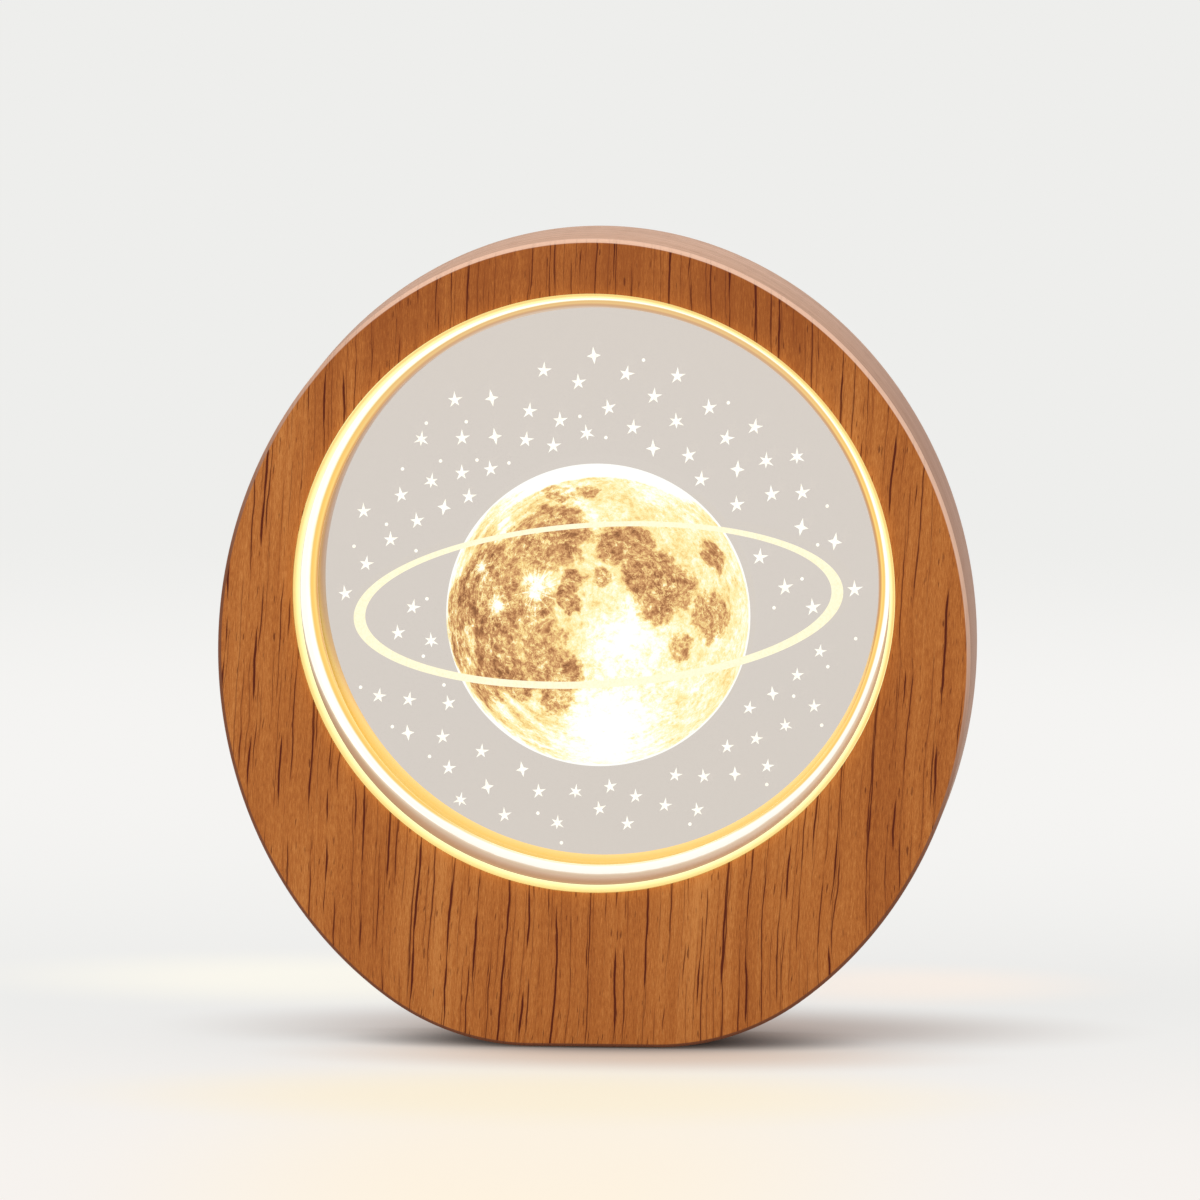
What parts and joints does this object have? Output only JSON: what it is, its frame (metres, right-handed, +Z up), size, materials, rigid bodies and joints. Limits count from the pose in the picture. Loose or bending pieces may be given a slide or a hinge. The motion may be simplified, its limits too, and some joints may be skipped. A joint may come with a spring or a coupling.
{
  "type": "crystal night light",
  "caption": "Oval veneered night light with a flat base and a round lit window whose clear disc carries a frosted moon, orbit ring and stars; push button and charging port at the back.",
  "frame": {"origin": "on the resting surface, under the middle of the body", "axes": "+Z up, front face towards -Y, back with the button and the charging port towards +Y, +X to the right when seen from the front"},
  "size_m": [0.148, 0.025, 0.16],
  "materials": {
    "core_wood": "sanded",
    "face_veneer": "satin lacquer, vertical grain",
    "band_veneer": "satin lacquer, grain along the rim",
    "back_veneer": "satin lacquer, vertical grain",
    "dark_steel": "black oxide",
    "foot_rubber": "matte",
    "lip_light": "lit translucent",
    "sleeve_acrylic": "translucent, dimly lit",
    "white_light": "lit diffuser",
    "amber_light": "lit translucent",
    "clear_rubber": "clear silicone",
    "clear_disc": "polished",
    "frost_bright": "edge-lit frost",
    "frost_dark": "edge-lit frost",
    "frost_line": "edge-lit frost",
    "frost_star": "edge-lit frost",
    "flex_strip": "flexible circuit",
    "led_chip": "phosphor",
    "lead_red": "insulated wire",
    "board_green": "solder mask",
    "bright_steel": "plated",
    "chip_black": "moulded",
    "ferrite": "ferrite",
    "capacitor_tan": "fired",
    "pipe_clear": "polished",
    "trim_black": "fine texture",
    "plunger_white": "moulded",
    "bezel_metal": "turned, satin",
    "cell_foil": "pouch foil",
    "foam_grey": "foam"
  },
  "bodies": {
    "lamp": {"frame_core": "core_wood", "front_veneer": "face_veneer", "edge_band": "band_veneer", "back_panel": "back_veneer", "cover_screws": "dark_steel", "foot_pads": "foot_rubber", "lip_ring": "lip_light", "sleeve_ring": "sleeve_acrylic", "diffuser_ring": "white_light", "rear_ring": "amber_light", "front_gasket": "clear_rubber", "rear_gasket": "clear_rubber", "crystal_disc": "clear_disc", "moon_lands": "frost_bright", "moon_seas": "frost_dark", "orbit_line": "frost_line", "star_field": "frost_star", "led_strip": "flex_strip", "led_chips": "led_chip", "led_leads": "lead_red", "main_board": "board_green", "board_screws": "bright_steel", "charge_chip": "chip_black", "driver_chip": "chip_black", "inductor": "ferrite", "capacitors": "capacitor_tan", "resistors": "chip_black", "indicator_led": "led_chip", "light_pipe": "pipe_clear", "usb_shell": "bright_steel", "usb_tongue": "chip_black", "port_trim": "trim_black", "switch_body": "chip_black", "button_bezel": "bezel_metal", "battery_cell": "cell_foil", "cell_guard_board": "board_green", "cell_tape": "foam_grey", "battery_leads": "lead_red", "battery_plug": "plunger_white", "battery_header": "plunger_white"},
    "button": {"power_button": "trim_black", "switch_plunger": "plunger_white"}
  },
  "joints": [
    {"name": "power_press", "type": "slide", "parent": "lamp", "child": "button", "axis": [0, -1, 0], "range_m": [0, 0.001], "stiffness_N_per_m": 800}
  ]
}
